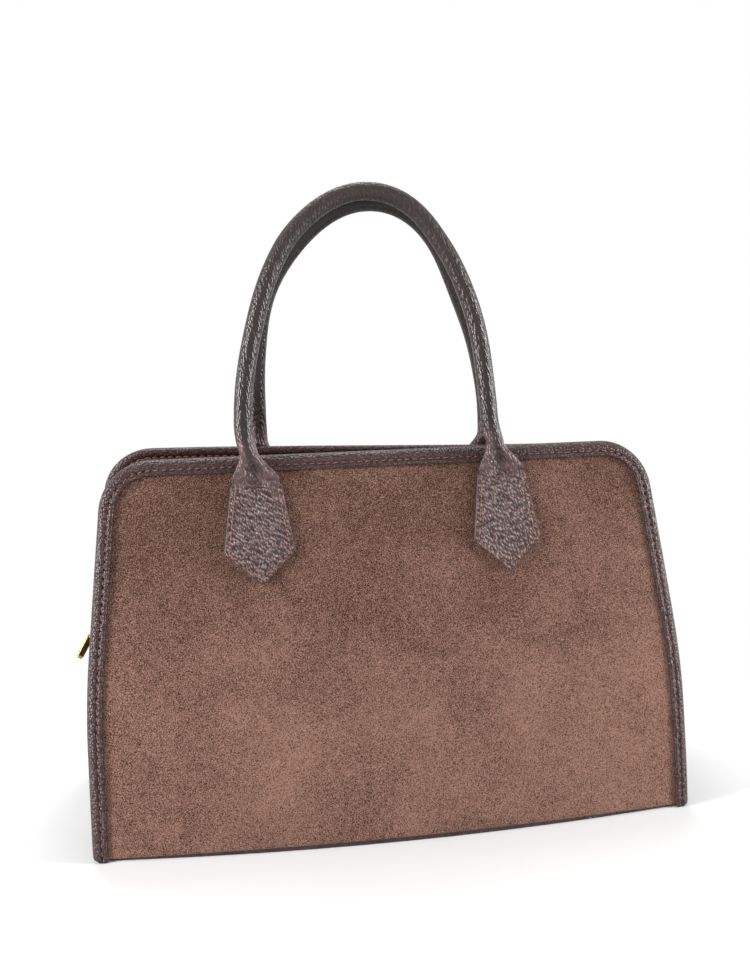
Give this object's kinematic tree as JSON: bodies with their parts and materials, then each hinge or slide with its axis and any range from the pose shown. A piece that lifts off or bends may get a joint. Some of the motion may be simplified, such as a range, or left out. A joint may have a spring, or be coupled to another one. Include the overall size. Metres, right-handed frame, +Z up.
{
  "type": "suede handbag",
  "caption": "Small suede handbag, wider at its base, with leather-bound edges, a zip across the top and two rolled leather handles that fold down.",
  "frame": {"origin": "middle of the base, on the surface that the bag stands on", "axes": "+Z up; +X to the right as seen from the front; the front face looks towards -Y"},
  "size_m": [0.3689, 0.1656, 0.381],
  "materials": {
    "suede": "napped, matt, mottled brown",
    "grained_leather": "pebble grain, low sheen, dark brown",
    "zip_tape": "woven, matt, dark brown",
    "gold_plate": "light gold plate, polished",
    "lining_fabric": "fine twill, matt, tan",
    "board": "pressed fibre board, matt",
    "rope_core": "laid cotton rope, matt"
  },
  "bodies": {
    "bag": {"front_panel": "suede", "back_panel": "suede", "base_panel": "grained_leather", "front_binding": "grained_leather", "back_binding": "grained_leather", "left_gusset": "grained_leather", "right_gusset": "grained_leather", "front_zip_facing": "grained_leather", "back_zip_facing": "grained_leather", "front_zip_tape": "zip_tape", "back_zip_tape": "zip_tape", "front_zip_chain": "gold_plate", "back_zip_chain": "gold_plate", "left_zip_stop": "gold_plate", "right_zip_stop": "gold_plate", "front_left_tab": "grained_leather", "front_right_tab": "grained_leather", "back_left_tab": "grained_leather", "back_right_tab": "grained_leather", "base_board": "board", "front_stiffener": "board", "back_stiffener": "board", "front_lining": "lining_fabric", "back_lining": "lining_fabric", "side_lining": "lining_fabric"},
    "slider": {"zip_slider": "gold_plate"},
    "pull": {"zip_pull": "gold_plate"},
    "front_handle": {"front_handle_cover": "grained_leather", "front_handle_core": "rope_core"},
    "back_handle": {"back_handle_cover": "grained_leather", "back_handle_core": "rope_core"}
  },
  "joints": [
    {"name": "zip_slide", "type": "slide", "parent": "bag", "child": "slider", "axis": [0.1932, 0, 0.9812], "range_m": [0, 0.06]},
    {"name": "pull_swing", "type": "hinge", "parent": "slider", "child": "pull", "pos_m": [-0.17731, 0, 0.11719], "axis": [0, 1, 0], "range_deg": [0, 150]},
    {"name": "front_handle_fold", "type": "hinge", "parent": "bag", "child": "front_handle", "pos_m": [0, -0.02982, 0.207], "axis": [1, 0, 0], "range_deg": [0, 115]},
    {"name": "back_handle_fold", "type": "hinge", "parent": "bag", "child": "back_handle", "pos_m": [0, 0.02982, 0.207], "axis": [-1, 0, 0], "range_deg": [0, 115]}
  ]
}
